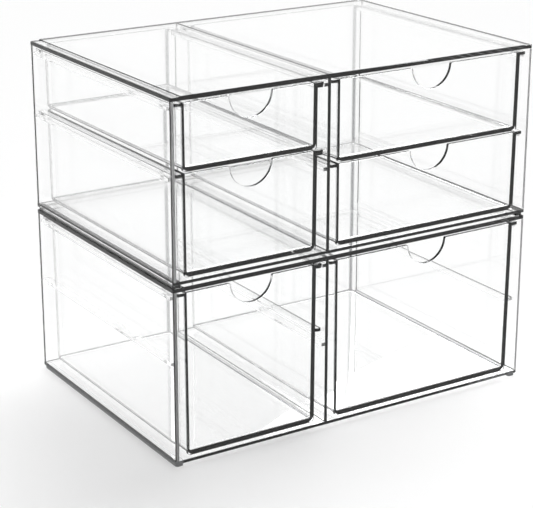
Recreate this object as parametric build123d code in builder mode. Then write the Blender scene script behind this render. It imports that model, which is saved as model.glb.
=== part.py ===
from build123d import *
import os
from math import radians, tan

# Stamp storage drawers of clear plastic: two casings of one shape, one standing on the other, and
# six drawers. Millimetres, +Z up, +X to the right as seen from the front, which faces -Y.
# The origin is the middle of the bounding box's bottom face.

# Casings
CASE_WIDTH = 240.0  # across the front
CASE_DEPTH = 167.0  # front to back
BODY_HEIGHT = 101.5  # underside of the base plate to the side strips of the top plate
TOP_THICKNESS = 2.0
BASE_THICKNESS = 2.0
WALL_THICKNESS = 2.0
BACK_THICKNESS = 2.0
DIVIDER_THICKNESS = 2.0
LEFT_BAY = 95.4  # clear width of the bay left of the divider, the narrower one
CORNER_RADIUS = 1.0  # upright outer corners of a casing
DIVIDER_RADIUS = 0.6  # upright front edges of the divider
PLATE_EDGE = 0.4  # rounded side edges of the top and base plates

# Stacking: the top plate is raised between its side strips, and the skids above stand beside it
STEP_RISE = 0.5
STEP_INSET = 6.0  # width of a side strip
STEP_EDGE = 0.25  # rounded long edges of the raised middle
SKID_HEIGHT = 1.8
SKID_INSET = 0.6  # outer side of the casing to the skid
SKID_CLEARANCE = 0.6  # skid to the raised middle that it stands beside
SKID_END = 1.0  # ends of the plate to the skid's ends
SKID_CORNER = 1.5  # upright corners of a skid

# Rails on the walls and the divider, which the drawers' flanges ride on
RAIL_REACH = 4.3  # out from the wall
RAIL_THICKNESS = 2.0
RAIL_FRONT = 5.0  # front of the casing to the rail
RAIL_BACK = 1.0  # rail to the back panel
RAIL_RADIUS = 3.0  # free corners of the rail, seen from above
RAIL_CLEARANCE = 0.2  # rail to the flange on it

# Drawers
RIM_CLEARANCE = 1.8  # top plate to the rim of the highest drawer
FLOOR_CLEARANCE = 1.1  # base plate to the underside of the lowest drawer
TIER_GAP = 1.0  # drawer to the one under it
LEFT_SHALLOW_HEIGHT = 36.8
RIGHT_TOP_HEIGHT = 46.4
SIDE_CLEARANCE = 1.5  # rail's tip to the drawer's side
FLANGE_CLEARANCE = 1.4  # wall to the flange
FLANGE_THICKNESS = 1.7
FLANGE_CORNER = 1.2  # free corners of a flange, seen from above
FRONT_SETBACK = 1.5  # front of the casing to the drawer's front
BACK_CLEARANCE = 0.5  # drawer to the back panel
SIDE_THICKNESS = 1.8  # drawer's sides and back
FRONT_THICKNESS = 2.0  # flat front plate
FLOOR_THICKNESS = 1.8
DRAFT = 0.35  # degrees that each side leans, wider at the rim
FRONT_CORNER = 1.1  # lower corners of the front plate
BACK_CORNER = 4.5  # upright back corners outside, at the floor
BOTTOM_RADIUS = 3.0  # outside, along the floor's sides and back
INNER_CORNER = 1.5  # upright front corners inside, at the floor
INNER_RADIUS = 1.2  # inside, all round the floor
NOTCH_RADIUS = 13.2  # half-round finger notch in the rim
NOTCH_CORNER = 1.0  # where the notch meets the rim
RIM_EDGE = 0.35  # rounded edges of the rim and of the notch

LEFT_SIDE = -CASE_WIDTH / 2
RIGHT_SIDE = CASE_WIDTH / 2
FRONT = -CASE_DEPTH / 2
BACK = CASE_DEPTH / 2
BACK_PANEL_FRONT = BACK - BACK_THICKNESS
WALL_HEIGHT = BODY_HEIGHT - TOP_THICKNESS - BASE_THICKNESS
INNER_WIDTH = CASE_WIDTH - 2 * WALL_THICKNESS
LEFT_BAY_START = LEFT_SIDE + WALL_THICKNESS
DIVIDER_LEFT = LEFT_BAY_START + LEFT_BAY
DIVIDER_RIGHT = DIVIDER_LEFT + DIVIDER_THICKNESS
RIGHT_BAY_END = RIGHT_SIDE - WALL_THICKNESS
UNIT_PITCH = SKID_HEIGHT + BODY_HEIGHT
SKID_WIDTH = STEP_INSET - SKID_INSET - SKID_CLEARANCE

# Drawer levels, up from the underside of a casing's base plate
TOP_RIM = BODY_HEIGHT - TOP_THICKNESS - RIM_CLEARANCE
LOWEST_FLOOR = BASE_THICKNESS + FLOOR_CLEARANCE
TALL_HEIGHT = TOP_RIM - LOWEST_FLOOR
LEFT_DEEP_RIM = TOP_RIM - LEFT_SHALLOW_HEIGHT - TIER_GAP
RIGHT_BOTTOM_RIM = TOP_RIM - RIGHT_TOP_HEIGHT - TIER_GAP
RAIL_BELOW_RIM = FLANGE_THICKNESS + RAIL_CLEARANCE + RAIL_THICKNESS
SIDE_MARGIN = RAIL_REACH + SIDE_CLEARANCE
FLANGE_REACH = SIDE_MARGIN - FLANGE_CLEARANCE
DRAWER_FRONT = FRONT + FRONT_SETBACK
DRAWER_BACK = BACK_PANEL_FRONT - BACK_CLEARANCE

os.makedirs("parts", exist_ok=True)


def save(piece, name):
    """Label a finished piece and write its STEP file."""
    piece.part.label = name
    export_step(piece.part, f"parts/{name}.step")


def spread(start, end):
    """Middle and length of a stretch from start to end."""
    return (start + end) / 2, end - start


def top_panel(unit, base):
    """Top plate with its raised middle, which runs from front to back."""
    with BuildPart() as panel:
        with BuildSketch(Plane.XY.offset(base + BODY_HEIGHT - TOP_THICKNESS)):
            RectangleRounded(CASE_WIDTH, CASE_DEPTH, CORNER_RADIUS)
        extrude(amount=TOP_THICKNESS)
        rims = panel.edges().filter_by(Axis.Y).group_by(Axis.Z)[-1]
        fillet(rims, PLATE_EDGE)
        with BuildSketch(Plane.XY.offset(base + BODY_HEIGHT - TOP_THICKNESS)):
            Rectangle(CASE_WIDTH - 2 * STEP_INSET, CASE_DEPTH)
        extrude(amount=TOP_THICKNESS + STEP_RISE)
        steps = panel.edges().filter_by(Axis.Y).group_by(Axis.Z)[-1]
        fillet(steps, STEP_EDGE)
    save(panel, f"{unit}_top_panel")


def base_panel(unit, base):
    """Base plate with a skid under each side."""
    skid_x = RIGHT_SIDE - SKID_INSET - SKID_WIDTH / 2
    with BuildPart() as panel:
        with BuildSketch(Plane.XY.offset(base)):
            RectangleRounded(CASE_WIDTH, CASE_DEPTH, CORNER_RADIUS)
        extrude(amount=BASE_THICKNESS)
        rims = panel.edges().filter_by(Axis.Y).group_by(Axis.Z)[0]
        fillet(rims, PLATE_EDGE)
        with BuildSketch(Plane.XY.offset(base - SKID_HEIGHT)):
            with Locations((-skid_x, 0), (skid_x, 0)):
                RectangleRounded(SKID_WIDTH, CASE_DEPTH - 2 * SKID_END, SKID_CORNER)
        extrude(amount=SKID_HEIGHT + BASE_THICKNESS)
    save(panel, f"{unit}_base_panel")


def rail_levels(base, rims):
    """Undersides of the rails that carry drawers with the given rims."""
    return [base + rim - RAIL_BELOW_RIM for rim in rims]


def rail_outline(face_x, side, level):
    """Underside of a rail on the face at face_x, which reaches to +X for side 1, to -X for -1."""
    middle, length = spread(FRONT + RAIL_FRONT, BACK_PANEL_FRONT - RAIL_BACK)
    with BuildSketch(Plane.XY.offset(level)) as outline:
        with Locations((face_x + side * RAIL_REACH / 2, middle)):
            Rectangle(RAIL_REACH, length)
        free_ends = outline.vertices().sort_by(Axis.X)
        fillet(free_ends[-2:] if side > 0 else free_ends[:2], RAIL_RADIUS)
    return outline.sketch


def side_wall(unit, base, name, side, rims):
    """Left wall for side 1, right wall for side -1: a plate with rails on its inner face."""
    outer = -side * CASE_WIDTH / 2
    inner = outer + side * WALL_THICKNESS
    with BuildPart() as wall:
        with BuildSketch(Plane.XY.offset(base + BASE_THICKNESS)) as outline:
            with Locations(((outer + inner) / 2, 0)):
                Rectangle(WALL_THICKNESS, CASE_DEPTH)
            corners = outline.vertices().sort_by(Axis.X)
            fillet(corners[:2] if side > 0 else corners[-2:], CORNER_RADIUS)
        extrude(amount=WALL_HEIGHT)
        for level in rail_levels(base, rims):
            extrude(rail_outline(inner, side, level), amount=RAIL_THICKNESS)
    save(wall, f"{unit}_{name}")


def divider(unit, base):
    """Upright plate between the two bays, with rails on both faces."""
    middle, length = spread(FRONT, BACK_PANEL_FRONT)
    with BuildPart() as plate:
        with BuildSketch(Plane.XY.offset(base + BASE_THICKNESS)) as outline:
            with Locations(((DIVIDER_LEFT + DIVIDER_RIGHT) / 2, middle)):
                Rectangle(DIVIDER_THICKNESS, length)
            fillet(outline.vertices().sort_by(Axis.Y)[:2], DIVIDER_RADIUS)
        extrude(amount=WALL_HEIGHT)
        for level in rail_levels(base, (TOP_RIM, LEFT_DEEP_RIM)):
            extrude(rail_outline(DIVIDER_LEFT, -1, level), amount=RAIL_THICKNESS)
        for level in rail_levels(base, (TOP_RIM, RIGHT_BOTTOM_RIM)):
            extrude(rail_outline(DIVIDER_RIGHT, 1, level), amount=RAIL_THICKNESS)
    save(plate, f"{unit}_divider")


def back_panel(unit, base):
    """Back plate, which stands between the side walls."""
    middle, thickness = spread(BACK_PANEL_FRONT, BACK)
    with BuildPart() as panel:
        with BuildSketch(Plane.XY.offset(base + BASE_THICKNESS)):
            with Locations((0, middle)):
                Rectangle(INNER_WIDTH, thickness)
        extrude(amount=WALL_HEIGHT)
    save(panel, f"{unit}_back_panel")


def floor_outline(level, across, along, front_radius, back_radius):
    """Outline at the given level of a tray or its hollow. across and along are its X and Y ends."""
    middle, width = spread(*across)
    middle_y, depth = spread(*along)
    with BuildSketch(Plane.XY.offset(level)) as outline:
        with Locations((middle, middle_y)):
            Rectangle(width, depth)
        corners = outline.vertices().sort_by(Axis.Y)
        fillet(corners[-2:], back_radius)
        if front_radius > 0:
            fillet(corners[:2], front_radius)
    return outline.sketch


def drawer_hollow(sides, rim, depth):
    """Space inside a drawer, from its floor to its rim. sides are the body's at the underside."""
    lean = depth * tan(radians(DRAFT))
    across = (sides[0] + SIDE_THICKNESS, sides[1] - SIDE_THICKNESS)
    along = (DRAWER_FRONT + FRONT_THICKNESS + lean, DRAWER_BACK - SIDE_THICKNESS - lean)
    outline = floor_outline(rim - depth, across, along, INNER_CORNER, BACK_CORNER - SIDE_THICKNESS)
    with BuildPart() as hollow:
        extrude(outline, amount=depth, taper=-DRAFT)
        fillet(hollow.edges().group_by(Axis.Z)[0], INNER_RADIUS)
    return hollow.part


def front_outline(sides, rim_sides, rim, height):
    """Outline of a drawer's front plate, which widens from the underside to the rim."""
    with BuildSketch(Plane.XZ.offset(-DRAWER_FRONT)) as outline:
        with BuildLine():
            lower = [(sides[0], rim - height), (sides[1], rim - height)]
            upper = [(rim_sides[1], rim), (rim_sides[0], rim)]
            Polyline(*lower, *upper, close=True)
        make_face()
        fillet(outline.vertices().sort_by(Axis.Y)[:2], FRONT_CORNER)
    return outline.sketch


def drawer(name, bay, rim, height):
    """Drawer: a flat front plate on a tray, a flange along both sides and a finger notch.

    bay holds the X of the bay's two sides, and rim is the Z of the drawer's upper edge.
    """
    middle = spread(*bay)[0]
    lean = height * tan(radians(DRAFT))
    rim_sides = (bay[0] + SIDE_MARGIN, bay[1] - SIDE_MARGIN)
    sides = (rim_sides[0] + lean, rim_sides[1] - lean)
    along = (DRAWER_FRONT + FRONT_THICKNESS / 2, DRAWER_BACK - lean)
    flange_width = rim_sides[1] - rim_sides[0] + 2 * FLANGE_REACH
    middle_y, depth = spread(DRAWER_FRONT, DRAWER_BACK)
    hollow = drawer_hollow(sides, rim, height - FLOOR_THICKNESS)
    with BuildPart() as body:
        extrude(floor_outline(rim - height, sides, along, 0, BACK_CORNER), amount=height, taper=-DRAFT)
        underside = body.edges().group_by(Axis.Z)[0]
        fillet(underside.sort_by(Axis.Y)[1:], BOTTOM_RADIUS)
        extrude(front_outline(sides, rim_sides, rim, height), amount=-FRONT_THICKNESS)
        with BuildSketch(Plane.XY.offset(rim - FLANGE_THICKNESS)):
            with Locations((middle, middle_y)):
                RectangleRounded(flange_width, depth, FLANGE_CORNER)
        extrude(amount=FLANGE_THICKNESS)
        add(hollow, mode=Mode.SUBTRACT)
        with BuildSketch(Plane.XZ.offset(-DRAWER_FRONT)):
            with Locations((middle, rim)):
                Circle(NOTCH_RADIUS)
        extrude(amount=2 * FRONT_THICKNESS, both=True, mode=Mode.SUBTRACT)
        at_rim = body.edges().filter_by(Axis.Y).group_by(Axis.Z)[-1]
        notch_ends = at_rim.sort_by(lambda edge: abs(edge.center().X - middle))[:2]
        fillet(notch_ends, NOTCH_CORNER)
        rim_edges = body.edges().group_by(Axis.Z)[-1]
        beside_notch = rim_edges.filter_by(Axis.Y).sort_by(lambda edge: abs(edge.center().X - middle))[:2]
        fillet([edge for edge in rim_edges if edge not in beside_notch], RIM_EDGE)
    save(body, name)


LEFT = (LEFT_BAY_START, DIVIDER_LEFT)
RIGHT = (DIVIDER_RIGHT, RIGHT_BAY_END)
LOWER_BASE = SKID_HEIGHT
UPPER_BASE = LOWER_BASE + UNIT_PITCH
RIGHT_BOTTOM_HEIGHT = RIGHT_BOTTOM_RIM - LOWEST_FLOOR
LEFT_DEEP_HEIGHT = LEFT_DEEP_RIM - LOWEST_FLOOR

for unit, base in (("lower", LOWER_BASE), ("upper", UPPER_BASE)):
    base_panel(unit, base)
    side_wall(unit, base, "left_wall", 1, (TOP_RIM, LEFT_DEEP_RIM))
    side_wall(unit, base, "right_wall", -1, (TOP_RIM, RIGHT_BOTTOM_RIM))
    divider(unit, base)
    back_panel(unit, base)
    top_panel(unit, base)

drawer("lower_left_tall_drawer", LEFT, LOWER_BASE + TOP_RIM, TALL_HEIGHT)
drawer("lower_right_tall_drawer", RIGHT, LOWER_BASE + TOP_RIM, TALL_HEIGHT)
drawer("upper_left_shallow_drawer", LEFT, UPPER_BASE + TOP_RIM, LEFT_SHALLOW_HEIGHT)
drawer("upper_left_deep_drawer", LEFT, UPPER_BASE + LEFT_DEEP_RIM, LEFT_DEEP_HEIGHT)
drawer("upper_right_top_drawer", RIGHT, UPPER_BASE + TOP_RIM, RIGHT_TOP_HEIGHT)
drawer("upper_right_bottom_drawer", RIGHT, UPPER_BASE + RIGHT_BOTTOM_RIM, RIGHT_BOTTOM_HEIGHT)
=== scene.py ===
"""Two stacked clear casings with six drawers: their finishes, the studio and the camera."""
import logging
import math
from dataclasses import dataclass, field
from enum import Enum

import bmesh
import bpy
from mathutils import Matrix, Vector

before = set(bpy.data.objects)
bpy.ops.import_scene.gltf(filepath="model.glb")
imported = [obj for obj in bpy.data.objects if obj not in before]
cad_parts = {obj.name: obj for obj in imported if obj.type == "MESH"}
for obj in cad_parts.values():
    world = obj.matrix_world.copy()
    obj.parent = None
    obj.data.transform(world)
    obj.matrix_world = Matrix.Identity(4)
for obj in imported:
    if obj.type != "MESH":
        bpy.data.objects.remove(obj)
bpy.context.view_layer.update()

LOG = logging.getLogger("clear_drawers")

Colour = tuple[float, float, float]
Place = tuple[float, float, float]
Turn = tuple[float, float]  # values at which a mask starts and ends to turn
Source = bpy.types.NodeSocket | float | tuple[float, ...]  # what feeds a node's input


class BroadFaces(Enum):
    """Which faces of a moulded plate are its broad ones, as weights on X, Y and Z.

    The sides of a lying plate get less painted edge shade than its front end, so they count as broad for the
    most part.
    """

    LYING_PLATE = (0.75, 0.0, 1.0)
    FLOOR_PLATE = (0.0, 0.0, 1.0)
    UPRIGHT_WITH_RAILS = (1.0, 0.0, 1.0)
    BACK_PLATE = (0.0, 1.0, 0.0)


class NodeSheet:
    """Adds nodes to one node tree and links their sockets."""

    def __init__(self, tree: bpy.types.NodeTree) -> None:
        """Start on a tree.

        Args:
            tree: the material, world or group tree that gets the nodes.
        """
        self.tree = tree

    def add(self, kind: str, **settings: object) -> bpy.types.Node:
        """Add one node.

        Args:
            kind: the node's type name, without its ShaderNode prefix.
            **settings: attributes that the node gets.

        Returns:
            The new node.
        """
        node = self.tree.nodes.new(f"ShaderNode{kind}")
        for key, value in settings.items():
            setattr(node, key, value)
        return node

    def feed(self, socket: bpy.types.NodeSocket, source: Source) -> None:
        """Link a socket to another one, or set it to a value.

        Args:
            socket: the input to feed.
            source: an output socket, a number or a tuple.
        """
        if isinstance(source, bpy.types.NodeSocket):
            self.tree.links.new(source, socket)
        else:
            socket.default_value = source

    def math(self, operation: str, first: Source, second: Source) -> bpy.types.NodeSocket:
        """Add a Math node.

        Args:
            operation: name of the operation.
            first: first operand, a socket or a number.
            second: second operand, a socket or a number.

        Returns:
            The node's result.
        """
        node = self.add("Math", operation=operation)
        self.feed(node.inputs[0], first)
        self.feed(node.inputs[1], second)
        return node.outputs[0]

    def ramp(self, value: Source, turn: Turn, start: float, end: float) -> bpy.types.NodeSocket:
        """Add a smooth Map Range node.

        Args:
            value: the value to map.
            turn: lowest and highest value of the turn from start to end.
            start: result at and under the lowest.
            end: result at and over the highest.

        Returns:
            The mapped value.
        """
        node = self.add("MapRange", interpolation_type="SMOOTHSTEP")
        for socket, source in zip(node.inputs, (value, *turn, start, end)):
            self.feed(socket, source)
        return node.outputs[0]

    def split(self, vector: bpy.types.NodeSocket) -> tuple[bpy.types.NodeSocket, ...]:
        """Separate a vector.

        Args:
            vector: the vector.

        Returns:
            Its X, Y and Z sockets.
        """
        node = self.add("SeparateXYZ")
        self.feed(node.inputs[0], vector)
        return tuple(node.outputs)

    def group(self, tree: bpy.types.NodeTree, **inputs: Source) -> bpy.types.Node:
        """Place a shared group.

        Args:
            tree: the group's tree.
            **inputs: values of its inputs, with an underscore for each space in a name.

        Returns:
            The group node.
        """
        node = self.add("Group", node_tree=tree)
        for key, source in inputs.items():
            self.feed(node.inputs[key.replace("_", " ")], source)
        return node


@dataclass
class SharedEffects:
    """Node groups that more than one finish uses, each built once.

    The turns of the two edge masks are in how squarely a face looks along its nearest axis.
    """

    narrow_turn: Turn = (0.4, 0.9)
    rounding_turn: Turn = (0.8, 0.98)
    wave_detail: float = 1.0
    hairline_scale: float = 2600.0
    hairline_detail: float = 2.0
    hairline_squeeze: Place = (1.0, 0.06, 1.0)
    hairline_turn: Turn = (0.62, 0.72)
    speck_scale: float = 900.0
    speck_detail: float = 3.0
    speck_turn: Turn = (0.66, 0.74)
    matt_bounce: float = 0.5  # between no matt bounce and the first
    cut_edge: bpy.types.NodeTree = field(init=False)
    rounded_edge: bpy.types.NodeTree = field(init=False)
    moulded_surface: bpy.types.NodeTree = field(init=False)
    seen_white: bpy.types.NodeTree = field(init=False)

    def __post_init__(self) -> None:
        """Build the groups."""
        self.cut_edge = self._cut_edge()
        self.rounded_edge = self._rounded_edge()
        self.moulded_surface = self._moulded_surface()
        self.seen_white = self._seen_white()

    @staticmethod
    def _start(
        name: str, inputs: dict[str, str], outputs: dict[str, str],
    ) -> tuple[NodeSheet, bpy.types.Node, bpy.types.Node]:
        """Start a group tree with named sockets.

        Args:
            name: the group's name.
            inputs: socket type of each input.
            outputs: socket type of each output.

        Returns:
            The sheet to add nodes with, the group's input node and its output node.
        """
        tree = bpy.data.node_groups.new(name, "ShaderNodeTree")
        for direction, sockets in (("INPUT", inputs), ("OUTPUT", outputs)):
            for label, kind in sockets.items():
                tree.interface.new_socket(label, in_out=direction, socket_type=f"NodeSocket{kind}")
        return NodeSheet(tree), tree.nodes.new("NodeGroupInput"), tree.nodes.new("NodeGroupOutput")

    @staticmethod
    def _squareness(sheet: NodeSheet, weights: Source) -> bpy.types.NodeSocket:
        """Add how squarely a face looks along its nearest axis.

        Args:
            sheet: the sheet to add nodes with.
            weights: how much X, Y and Z count.

        Returns:
            The value, 1 where the face looks straight along an axis of weight 1.
        """
        facing = sheet.add("VectorMath", operation="ABSOLUTE")
        sheet.feed(facing.inputs[0], sheet.add("TexCoord").outputs["Normal"])
        weighted = sheet.add("VectorMath", operation="MULTIPLY")
        sheet.feed(weighted.inputs[0], facing.outputs[0])
        sheet.feed(weighted.inputs[1], weights)
        x, y, z = sheet.split(weighted.outputs[0])
        return sheet.math("MAXIMUM", sheet.math("MAXIMUM", x, y), z)

    def _cut_edge(self) -> bpy.types.NodeTree:
        """Build the mask of a plate's narrow faces: 1 where the surface turns from the broad ones.

        Returns:
            The group's tree.
        """
        sheet, given, result = self._start("cut_edge", {"Broad Faces": "Vector"}, {"Mask": "Float"})
        broad = self._squareness(sheet, given.outputs["Broad Faces"])
        sheet.feed(result.inputs["Mask"], sheet.ramp(broad, self.narrow_turn, 1.0, 0.0))
        return sheet.tree

    def _rounded_edge(self) -> bpy.types.NodeTree:
        """Build the mask of a moulding's roundings: 1 where the surface faces between two axes.

        Returns:
            The group's tree.
        """
        sheet, _, result = self._start("rounded_edge", {}, {"Mask": "Float"})
        square = self._squareness(sheet, (1.0, 1.0, 1.0))
        sheet.feed(result.inputs["Mask"], sheet.ramp(square, self.rounding_turn, 1.0, 0.0))
        return sheet.tree

    @staticmethod
    def _noise(sheet: NodeSheet, place: Source, scale: Source, detail: float) -> bpy.types.NodeSocket:
        """Add a noise.

        Args:
            sheet: the sheet to add the node with.
            place: the point that it is read at.
            scale: features to a metre.
            detail: how many finer layers it has.

        Returns:
            The noise's value.
        """
        noise = sheet.add("TexNoise")
        for label, source in (("Vector", place), ("Scale", scale), ("Detail", detail)):
            sheet.feed(noise.inputs[label], source)
        return noise.outputs[0]

    def _moulded_surface(self) -> bpy.types.NodeTree:
        """Build the slow waves, hairline scuffs and dust of a moulded and handled plate.

        Returns:
            The group's tree.
        """
        sheet, given, result = self._start(
            "moulded_surface",
            {"Wave Size": "Float", "Scuff Amount": "Float", "Dust Amount": "Float"},
            {"Height": "Float", "Roughness": "Float", "Dust": "Float"},
        )
        place = sheet.add("TexCoord").outputs["Object"]
        wave_scale = sheet.math("DIVIDE", 1.0, given.outputs["Wave Size"])
        waves = self._noise(sheet, place, wave_scale, self.wave_detail)
        sheet.feed(result.inputs["Height"], waves)

        along = sheet.add("Mapping")
        sheet.feed(along.inputs["Vector"], place)
        along.inputs["Scale"].default_value = self.hairline_squeeze
        hairlines = self._noise(sheet, along.outputs[0], self.hairline_scale, self.hairline_detail)
        scuffs = sheet.ramp(hairlines, self.hairline_turn, 0.0, 1.0)
        sheet.feed(result.inputs["Roughness"], sheet.math("MULTIPLY", scuffs, given.outputs["Scuff Amount"]))

        specks = self._noise(sheet, place, self.speck_scale, self.speck_detail)
        dust = sheet.ramp(specks, self.speck_turn, 0.0, 1.0)
        sheet.feed(result.inputs["Dust"], sheet.math("MULTIPLY", dust, given.outputs["Dust Amount"]))
        return sheet.tree

    def _seen_white(self) -> bpy.types.NodeTree:
        """Build the share of plain white for a straight look and for one through or off the plastic.

        Light that has already met a matt surface sees none, so the casings still cast a shadow.

        Returns:
            The group's tree.
        """
        sheet, given, result = self._start(
            "seen_white",
            {"Camera": "Float", "Glossy": "Float", "Transmission": "Float", "Diffuse Depth": "Float",
             "Straight Share": "Float", "Plastic Share": "Float"},
            {"Share": "Float"},
        )
        plastic = sheet.math("MAXIMUM", given.outputs["Glossy"], given.outputs["Transmission"])
        through = sheet.math("MULTIPLY", plastic, given.outputs["Plastic Share"])
        straight = sheet.math("MULTIPLY", given.outputs["Camera"], given.outputs["Straight Share"])
        looking = sheet.math("LESS_THAN", given.outputs["Diffuse Depth"], self.matt_bounce)
        share = sheet.math("MULTIPLY", sheet.math("MAXIMUM", through, straight), looking)
        sheet.feed(result.inputs["Share"], share)
        return sheet.tree


@dataclass(frozen=True)
class EdgeMask:
    """Finds the narrow faces of a casing's plate by the way they face."""

    broad: BroadFaces

    def mask(self, sheet: NodeSheet, effects: SharedEffects) -> bpy.types.NodeSocket:
        """Add the mask of the narrow faces.

        Args:
            sheet: the sheet to add nodes with.
            effects: the shared node groups.

        Returns:
            The mask.
        """
        return sheet.group(effects.cut_edge, Broad_Faces=self.broad.value).outputs["Mask"]


@dataclass(frozen=True)
class FrontMask(EdgeMask):
    """Finds the narrow faces in front of a limit only, and leaves level tops out.

    Faces whose normal rises more than level_lift count as level.
    """

    back_limit: float = 0.0
    blend_depth: float = 0.0002
    level_lift: float = 0.995

    def mask(self, sheet: NodeSheet, effects: SharedEffects) -> bpy.types.NodeSocket:
        """Add the mask of the narrow faces in front of the limit.

        Args:
            sheet: the sheet to add nodes with.
            effects: the shared node groups.

        Returns:
            The mask.
        """
        narrow = super().mask(sheet, effects)
        coordinates = sheet.add("TexCoord")
        depth = sheet.split(coordinates.outputs["Object"])[1]
        lift = sheet.split(coordinates.outputs["Normal"])[2]
        turn = (self.back_limit - self.blend_depth, self.back_limit + self.blend_depth)
        near = sheet.ramp(depth, turn, 1.0, 0.0)
        not_level = sheet.math("LESS_THAN", lift, self.level_lift)
        return sheet.math("MULTIPLY", sheet.math("MULTIPLY", narrow, near), not_level)


@dataclass(frozen=True)
class ClearPlastic:
    """Polished clear plastic, with painted shade where a plate ends and along its roundings."""

    name: str
    # The next two colours are painted shade: darker colour on a plate's narrow faces and on its roundings,
    # for the dark outlines seen there.
    painted_edge_shade: Colour
    painted_rounding_shade: Colour
    face: Colour = (0.998, 0.999, 0.999)
    dust: Colour = (0.93, 0.93, 0.92)
    index: float = 1.49
    lamp_pass: float = 0.95
    edge_roughness: float = 0.0
    wave_size: float = 0.03
    wave_height: float = 0.000003
    scuff_amount: float = 0.01
    dust_amount: float = 0.1

    def make(self, effects: SharedEffects, edge_mask: EdgeMask) -> bpy.types.Material:
        """Build the material.

        Args:
            effects: the shared node groups.
            edge_mask: adds the nodes that find the piece's narrow faces.

        Returns:
            The new material.
        """
        material = bpy.data.materials.new(self.name)
        material.use_nodes = True
        sheet = NodeSheet(material.node_tree)
        sheet.tree.nodes.clear()
        surface = sheet.group(
            effects.moulded_surface,
            Wave_Size=self.wave_size, Scuff_Amount=self.scuff_amount, Dust_Amount=self.dust_amount,
        )
        # Painted shade: roundings and narrow faces get darker colours, for the dark outlines seen at plate
        # ends; real dust goes on top.
        painted_rounding_shade = sheet.group(effects.rounded_edge).outputs["Mask"]
        colour = self._blend(sheet, painted_rounding_shade, (*self.face, 1.0), (*self.painted_rounding_shade, 1.0))
        narrow = edge_mask.mask(sheet, effects)
        colour = self._blend(sheet, narrow, colour, (*self.painted_edge_shade, 1.0))
        colour = self._blend(sheet, surface.outputs["Dust"], colour, (*self.dust, 1.0))

        plastic = sheet.add("BsdfPrincipled")
        plastic.inputs["IOR"].default_value = self.index
        plastic.inputs["Transmission Weight"].default_value = 1.0
        plastic.inputs["Metallic"].default_value = 0.0
        sheet.feed(plastic.inputs["Base Color"], colour)
        matt = sheet.math("MULTIPLY", narrow, self.edge_roughness)
        sheet.feed(plastic.inputs["Roughness"], sheet.math("MAXIMUM", surface.outputs["Roughness"], matt))
        bump = sheet.add("Bump")
        bump.inputs["Distance"].default_value = self.wave_height
        sheet.feed(bump.inputs["Height"], surface.outputs["Height"])
        sheet.feed(plastic.inputs["Normal"], bump.outputs[0])

        lamp_light = sheet.add("BsdfTransparent")
        lamp_light.inputs[0].default_value = (self.lamp_pass, self.lamp_pass, self.lamp_pass, 1.0)
        choice = sheet.add("MixShader")
        sheet.feed(choice.inputs[0], sheet.add("LightPath").outputs["Is Shadow Ray"])
        sheet.feed(choice.inputs[1], plastic.outputs[0])
        sheet.feed(choice.inputs[2], lamp_light.outputs[0])
        sheet.feed(sheet.add("OutputMaterial").inputs["Surface"], choice.outputs[0])
        return material

    @staticmethod
    def _blend(sheet: NodeSheet, mask: Source, low: Source, high: Source) -> bpy.types.NodeSocket:
        """Mix two colours.

        Args:
            sheet: the sheet to add the node with.
            mask: 0 for low, 1 for high.
            low: colour or socket at 0.
            high: colour or socket at 1.

        Returns:
            The mixed colour.
        """
        node = sheet.add("Mix", data_type="RGBA")
        for label, source in (("Factor_Float", mask), ("A_Color", low), ("B_Color", high)):
            sheet.feed(next(s for s in node.inputs if s.identifier == label), source)
        return next(s for s in node.outputs if s.identifier == "Result_Color")


# Painted shade: each finish's first two colours darken narrow faces and roundings to draw the dark outlines
# of the plates.
LYING_PLATE = ClearPlastic(
    "clear_lying_plate", painted_edge_shade=(0.72, 0.73, 0.735), painted_rounding_shade=(0.93, 0.935, 0.94), edge_roughness=0.02)
# The floor plate's near-black edges are a painted contact shadow where the lower casing meets the floor.
FLOOR_PLATE = ClearPlastic(
    "clear_floor_plate", painted_edge_shade=(0.02, 0.021, 0.022), painted_rounding_shade=(0.20, 0.205, 0.21), edge_roughness=0.02)
SIDE_WALL = ClearPlastic(
    "clear_side_wall", painted_edge_shade=(0.98, 0.985, 0.985), painted_rounding_shade=(0.70, 0.71, 0.715), edge_roughness=1.0)
DIVIDER = ClearPlastic(
    "clear_divider", painted_edge_shade=(0.45, 0.46, 0.465), painted_rounding_shade=(0.60, 0.61, 0.615), edge_roughness=0.1)
BACK_PLATE = ClearPlastic(
    "clear_back_plate", painted_edge_shade=(0.95, 0.955, 0.96), painted_rounding_shade=(0.95, 0.955, 0.96))
DRAWER = ClearPlastic(
    "clear_drawer_moulding", painted_edge_shade=(0.50, 0.51, 0.515), painted_rounding_shade=(0.34, 0.345, 0.35))


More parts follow.
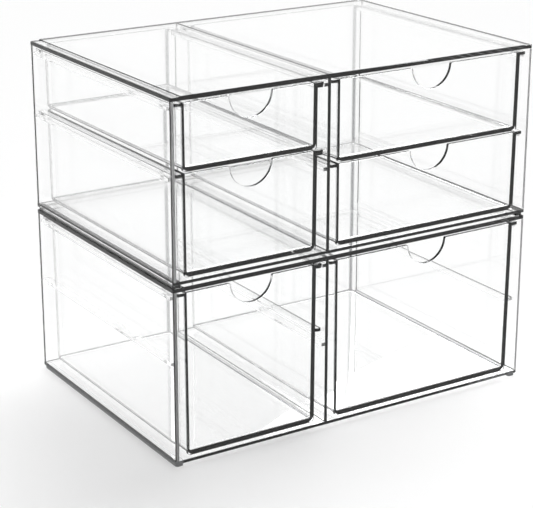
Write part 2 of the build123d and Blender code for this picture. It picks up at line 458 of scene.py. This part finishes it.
@dataclass
class Casing:
    """One open-fronted casing: its plates, and the finish of each."""

    unit: str
    effects: SharedEffects
    plates: dict[str, tuple[ClearPlastic, EdgeMask]] = field(default_factory=lambda: {
        "base_panel": (LYING_PLATE, EdgeMask(BroadFaces.LYING_PLATE)),
        "top_panel": (LYING_PLATE, EdgeMask(BroadFaces.LYING_PLATE)),
        "left_wall": (SIDE_WALL, EdgeMask(BroadFaces.UPRIGHT_WITH_RAILS)),
        "right_wall": (SIDE_WALL, EdgeMask(BroadFaces.UPRIGHT_WITH_RAILS)),
        "divider": (DIVIDER, FrontMask(BroadFaces.UPRIGHT_WITH_RAILS)),
        "back_panel": (BACK_PLATE, EdgeMask(BroadFaces.BACK_PLATE)),
    })

    def __post_init__(self) -> None:
        """Take the finish with a painted contact shadow on its edges for the base plate that stands on the
        floor.
        """
        if self.unit == "lower":
            self.plates["base_panel"] = (FLOOR_PLATE, EdgeMask(BroadFaces.FLOOR_PLATE))

    def dress(self, materials: dict[str, bpy.types.Material]) -> None:
        """Give every plate its material.

        Args:
            materials: finished materials by name; missing ones are added.
        """
        for plate, (finish, edge_mask) in self.plates.items():
            if finish.name not in materials:
                materials[finish.name] = finish.make(self.effects, edge_mask)
            assign(f"{self.unit}_{plate}", materials[finish.name])


@dataclass
class DrawerSet:
    """All drawers, which share one moulded finish."""

    finish: ClearPlastic
    effects: SharedEffects
    front_mask: FrontMask = FrontMask(BroadFaces.BACK_PLATE, back_limit=-0.080)
    names: tuple[str, ...] = (
        "upper_left_shallow_drawer",
        "upper_left_deep_drawer",
        "upper_right_top_drawer",
        "upper_right_bottom_drawer",
        "lower_left_tall_drawer",
        "lower_right_tall_drawer",
    )

    def dress(self) -> None:
        """Give every drawer the shared material."""
        material = self.finish.make(self.effects, self.front_mask)
        for name in self.names:
            assign(name, material)


def assign(node: str, material: bpy.types.Material) -> None:
    """Put a material on a node's object and report it.

    Args:
        node: name of the CAD node.
        material: the material it gets.
    """
    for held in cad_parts[node].material_slots:
        held.link = "OBJECT"
        held.material = material
    LOG.info("%s: %s", node, material.name)


@dataclass(frozen=True)
class Lamp:
    """A soft square lamp that looks at the casings."""

    name: str
    place: Place
    size: float
    power: float

    def build(self, target: Vector) -> None:
        """Hang the lamp.

        Args:
            target: point that it looks at.
        """
        light = bpy.data.lights.new(self.name, "AREA")
        light.size = self.size
        light.energy = self.power
        holder = bpy.data.objects.new(self.name, light)
        bpy.context.scene.collection.objects.link(holder)
        holder.location = self.place
        holder.rotation_euler = (target - holder.location).to_track_quat("-Z", "Y").to_euler()


@dataclass(frozen=True)
class Studio:
    """White floor, white surroundings under a darker ceiling, and one wide soft light."""

    effects: SharedEffects
    floor_side: float = 12.0
    floor_tone: float = 0.93
    straight_share: float = 0.08
    plastic_share: float = 0.6
    world_light: float = 0.4
    ceiling_tone: float = 0.3
    ceiling_turn: Turn = (0.40, 0.60)
    sun_strength: float = 2.9
    sun_spread: float = math.radians(50)
    sun_from: Place = (0.65, 0.5, 0.8)
    lamps_aim: Place = (0.0, 0.0, 0.1)
    lamps: tuple[Lamp, ...] = (
        Lamp("front_lamp", (-0.5, -1.3, 1.5), 1.0, 3.0),
    )

    def _share(self, sheet: NodeSheet, straight: float, plastic: float) -> bpy.types.NodeSocket:
        """Add the share of plain white that camera, glossy and transmission rays see.

        Args:
            sheet: the sheet to add nodes with.
            straight: share for camera rays.
            plastic: share for glossy and transmission rays.

        Returns:
            The share.
        """
        path = sheet.add("LightPath")
        return sheet.group(
            self.effects.seen_white,
            Camera=path.outputs["Is Camera Ray"], Glossy=path.outputs["Is Glossy Ray"],
            Transmission=path.outputs["Is Transmission Ray"], Diffuse_Depth=path.outputs["Diffuse Depth"],
            Straight_Share=straight, Plastic_Share=plastic,
        ).outputs["Share"]

    def build(self) -> None:
        """Lay the floor and set the world and the lamps."""
        self._floor()
        self._world()
        sun = bpy.data.lights.new("sky_lamp", "SUN")
        sun.energy = self.sun_strength
        sun.angle = self.sun_spread
        holder = bpy.data.objects.new("sky_lamp", sun)
        holder.rotation_euler = Vector(self.sun_from).to_track_quat("Z", "Y").to_euler()
        bpy.context.scene.collection.objects.link(holder)
        for lamp in self.lamps:
            lamp.build(Vector(self.lamps_aim))

    def _floor(self) -> None:
        """Lay a white sheet under the casings."""
        mesh = bpy.data.meshes.new("floor")
        sheet_mesh = bmesh.new()
        bmesh.ops.create_grid(sheet_mesh, x_segments=1, y_segments=1, size=self.floor_side / 2)
        sheet_mesh.to_mesh(mesh)
        sheet_mesh.free()
        floor = bpy.data.objects.new("floor", mesh)
        bpy.context.scene.collection.objects.link(floor)
        material = bpy.data.materials.new("white_floor")
        material.use_nodes = True
        sheet = NodeSheet(material.node_tree)
        sheet.tree.nodes.clear()
        matt = sheet.add("BsdfDiffuse")
        matt.inputs[0].default_value = (self.floor_tone, self.floor_tone, self.floor_tone, 1.0)
        white = sheet.add("Emission")
        choice = sheet.add("MixShader")
        sheet.feed(choice.inputs[0], self._share(sheet, self.straight_share, self.plastic_share))
        sheet.feed(choice.inputs[1], matt.outputs[0])
        sheet.feed(choice.inputs[2], white.outputs[0])
        sheet.feed(sheet.add("OutputMaterial").inputs["Surface"], choice.outputs[0])
        mesh.materials.append(material)

    def _world(self) -> None:
        """Set surroundings that look white and light the casings evenly."""
        world = bpy.data.worlds.new("white_room")
        bpy.context.scene.world = world
        world.use_nodes = True
        sheet = NodeSheet(world.node_tree)
        sheet.tree.nodes.clear()
        rise = sheet.split(sheet.add("TexCoord").outputs["Generated"])[2]
        ceiling = sheet.ramp(rise, self.ceiling_turn, 1.0, self.ceiling_tone)
        straight = self._share(sheet, 1.0, 0.0)
        plastic = sheet.math("MULTIPLY", self._share(sheet, 0.0, 1.0), ceiling)
        seen = sheet.math("MAXIMUM", straight, plastic)
        hidden = sheet.math("SUBTRACT", 1.0, self._share(sheet, 1.0, 1.0))
        room = sheet.add("Background")
        room.inputs["Color"].default_value = (1.0, 1.0, 1.0, 1.0)
        sheet.feed(room.inputs["Strength"], sheet.math(
            "ADD", seen, sheet.math("MULTIPLY", hidden, self.world_light)))
        sheet.feed(sheet.add("OutputWorld").inputs["Surface"], room.outputs[0])


@dataclass(frozen=True)
class CameraPlace:
    """Camera of the photograph: to the left of the front and a little above."""

    place: Place = (-0.5254, -0.8097, 0.4111)
    azimuth: float = math.radians(-31.44)
    elevation: float = math.radians(17.99)
    roll: float = math.radians(-0.32)
    picture_width: float = 533.0
    focal_pixels: float = 1687.0
    shift_pixels: tuple[float, float] = (31.0, -33.0)
    sensor: float = 36.0
    near_limit: float = 0.05
    bounces: int = 64
    gloss_bounces: int = 10

    def build(self) -> None:
        """Create the camera, make it the scene's own and set how far light is followed."""
        back = Vector((
            math.sin(self.azimuth) * math.cos(self.elevation),
            -math.cos(self.azimuth) * math.cos(self.elevation),
            math.sin(self.elevation),
        ))
        level = Vector((math.cos(self.azimuth), math.sin(self.azimuth), 0.0))
        upright = back.cross(level)
        turn = Matrix.Rotation(self.roll, 3, back)
        pose = Matrix((turn @ level, turn @ upright, back)).transposed().to_4x4()
        pose.translation = self.place
        camera = bpy.data.cameras.new("camera")
        camera.sensor_width = self.sensor
        camera.lens = self.focal_pixels / self.picture_width * self.sensor
        camera.shift_x, camera.shift_y = (s / self.picture_width for s in self.shift_pixels)
        camera.clip_start = self.near_limit
        holder = bpy.data.objects.new("camera", camera)
        holder.matrix_world = pose
        scene = bpy.context.scene
        scene.collection.objects.link(holder)
        scene.camera = holder
        scene.view_settings.view_transform = "Standard"
        scene.cycles.max_bounces = self.bounces
        scene.cycles.transmission_bounces = self.bounces
        scene.cycles.glossy_bounces = self.gloss_bounces
        scene.cycles.transparent_max_bounces = self.bounces


def main() -> None:
    """Dress both casings and the drawers, then set up the studio and the camera."""
    logging.basicConfig(level=logging.INFO, format="%(message)s")
    effects = SharedEffects()
    materials: dict[str, bpy.types.Material] = {}
    for unit in ("lower", "upper"):
        Casing(unit, effects).dress(materials)
    DrawerSet(DRAWER, effects).dress()
    Studio(effects).build()
    CameraPlace().build()


if __name__ == "__main__":
    main()
